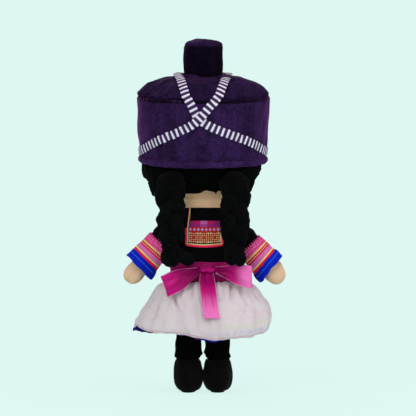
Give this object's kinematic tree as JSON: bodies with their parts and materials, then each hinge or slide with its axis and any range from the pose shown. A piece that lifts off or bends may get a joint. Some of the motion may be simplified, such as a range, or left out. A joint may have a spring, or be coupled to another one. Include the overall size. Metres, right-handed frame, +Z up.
{
  "type": "plush doll",
  "caption": "Stuffed standing doll with a tall crossed-trim hat, two plaits, banded sleeves, a square back collar, a sash with a bow and a gathered skirt.",
  "frame": {"origin": "on the floor, under the middle of the doll's outline", "axes": "+Z up, -Y the way the doll faces, +X towards its left hand"},
  "size_m": [0.1586, 0.1284, 0.3525],
  "materials": {
    "linen": "matte",
    "hair": "matte",
    "velvet": "matte",
    "trim": "matte",
    "jacket": "matte",
    "banding": "matte",
    "cuff": "matte",
    "embroidery": "matte",
    "ribbon": "satin",
    "cotton": "matte",
    "underskirt": "matte",
    "suede": "matte",
    "thread": "matte"
  },
  "bodies": {
    "torso": {"torso": "linen", "jacket": "jacket", "lapel_left": "cuff", "lapel_right": "cuff", "collar_cloth": "jacket", "collar_panel": "embroidery", "collar_binding": "banding", "sash": "ribbon", "bow_knot": "ribbon", "bow_loop_left": "ribbon", "bow_loop_right": "ribbon", "skirt": "cotton", "underskirt": "underskirt"},
    "neck": {"neck": "linen"},
    "head": {"head": "linen", "eye_left": "thread", "eye_right": "thread", "mouth": "embroidery", "hair": "hair", "hat_side": "velvet", "hat_crown": "velvet", "hat_brim": "velvet", "knob_side": "velvet", "knob_top": "velvet", "hat_trim_left": "trim", "hat_trim_right": "trim"},
    "bow_tail": {"bow_tail": "ribbon"},
    "plait_left": {"plait_root_left": "hair", "plait_strand_left_1": "hair", "plait_strand_left_2": "hair", "plait_strand_left_3": "hair", "plait_tie_left": "thread"},
    "shoulder_left": {"shoulder_left": "jacket"},
    "arm_left": {"arm_left": "linen", "sleeve_left": "jacket", "sleeve_band_left": "banding", "cuff_left": "cuff"},
    "leg_left": {"leg_left": "linen", "legging_left": "jacket", "shoe_left": "suede", "sole_left": "suede"},
    "plait_right": {"plait_root_right": "hair", "plait_strand_right_1": "hair", "plait_strand_right_2": "hair", "plait_strand_right_3": "hair", "plait_tie_right": "thread"},
    "shoulder_right": {"shoulder_right": "jacket"},
    "arm_right": {"arm_right": "linen", "sleeve_right": "jacket", "sleeve_band_right": "banding", "cuff_right": "cuff"},
    "leg_right": {"leg_right": "linen", "legging_right": "jacket", "shoe_right": "suede", "sole_right": "suede"}
  },
  "joints": [
    {"name": "neck_turn", "type": "hinge", "parent": "torso", "child": "neck", "pos_m": [0.00064, -0.00462, 0.183], "axis": [0, 0, 1], "range_deg": [-8, 8], "stiffness_Nm_per_rad": 0.35},
    {"name": "head_nod", "type": "hinge", "parent": "neck", "child": "head", "pos_m": [0.00064, -0.00462, 0.193], "axis": [1, 0, 0], "range_deg": [0, 12], "stiffness_Nm_per_rad": 1.5},
    {"name": "plait_swing_left", "type": "hinge", "parent": "head", "child": "plait_left", "pos_m": [0.03214, 0.03738, 0.207], "axis": [1, 0, 0], "range_deg": [0, 60]},
    {"name": "shoulder_lift_left", "type": "hinge", "parent": "torso", "child": "shoulder_left", "pos_m": [0.03464, -0.00462, 0.16], "axis": [0, -1, 0], "range_deg": [-4, 55], "stiffness_Nm_per_rad": 0.5},
    {"name": "shoulder_swing_left", "type": "hinge", "parent": "shoulder_left", "child": "arm_left", "pos_m": [0.03464, -0.00462, 0.16], "axis": [-1, 0, 0], "range_deg": [-8, 60], "stiffness_Nm_per_rad": 0.4},
    {"name": "hip_swing_left", "type": "hinge", "parent": "torso", "child": "leg_left", "pos_m": [0.01524, 0.00138, 0.09], "axis": [-1, 0, 0], "range_deg": [-20, 30], "stiffness_Nm_per_rad": 3},
    {"name": "plait_swing_right", "type": "hinge", "parent": "head", "child": "plait_right", "pos_m": [-0.03086, 0.03738, 0.207], "axis": [1, 0, 0], "range_deg": [0, 60]},
    {"name": "shoulder_lift_right", "type": "hinge", "parent": "torso", "child": "shoulder_right", "pos_m": [-0.03336, -0.00462, 0.16], "axis": [0, 1, 0], "range_deg": [-4, 55], "stiffness_Nm_per_rad": 0.5},
    {"name": "shoulder_swing_right", "type": "hinge", "parent": "shoulder_right", "child": "arm_right", "pos_m": [-0.03336, -0.00462, 0.16], "axis": [-1, 0, 0], "range_deg": [-8, 60], "stiffness_Nm_per_rad": 0.4},
    {"name": "hip_swing_right", "type": "hinge", "parent": "torso", "child": "leg_right", "pos_m": [-0.01396, 0.00138, 0.09], "axis": [-1, 0, 0], "range_deg": [-20, 30], "stiffness_Nm_per_rad": 3},
    {"name": "bow_tail_swing", "type": "hinge", "parent": "torso", "child": "bow_tail", "pos_m": [-0.00306, 0.02388, 0.1182], "axis": [1, 0, 0], "range_deg": [0, 50]}
  ]
}
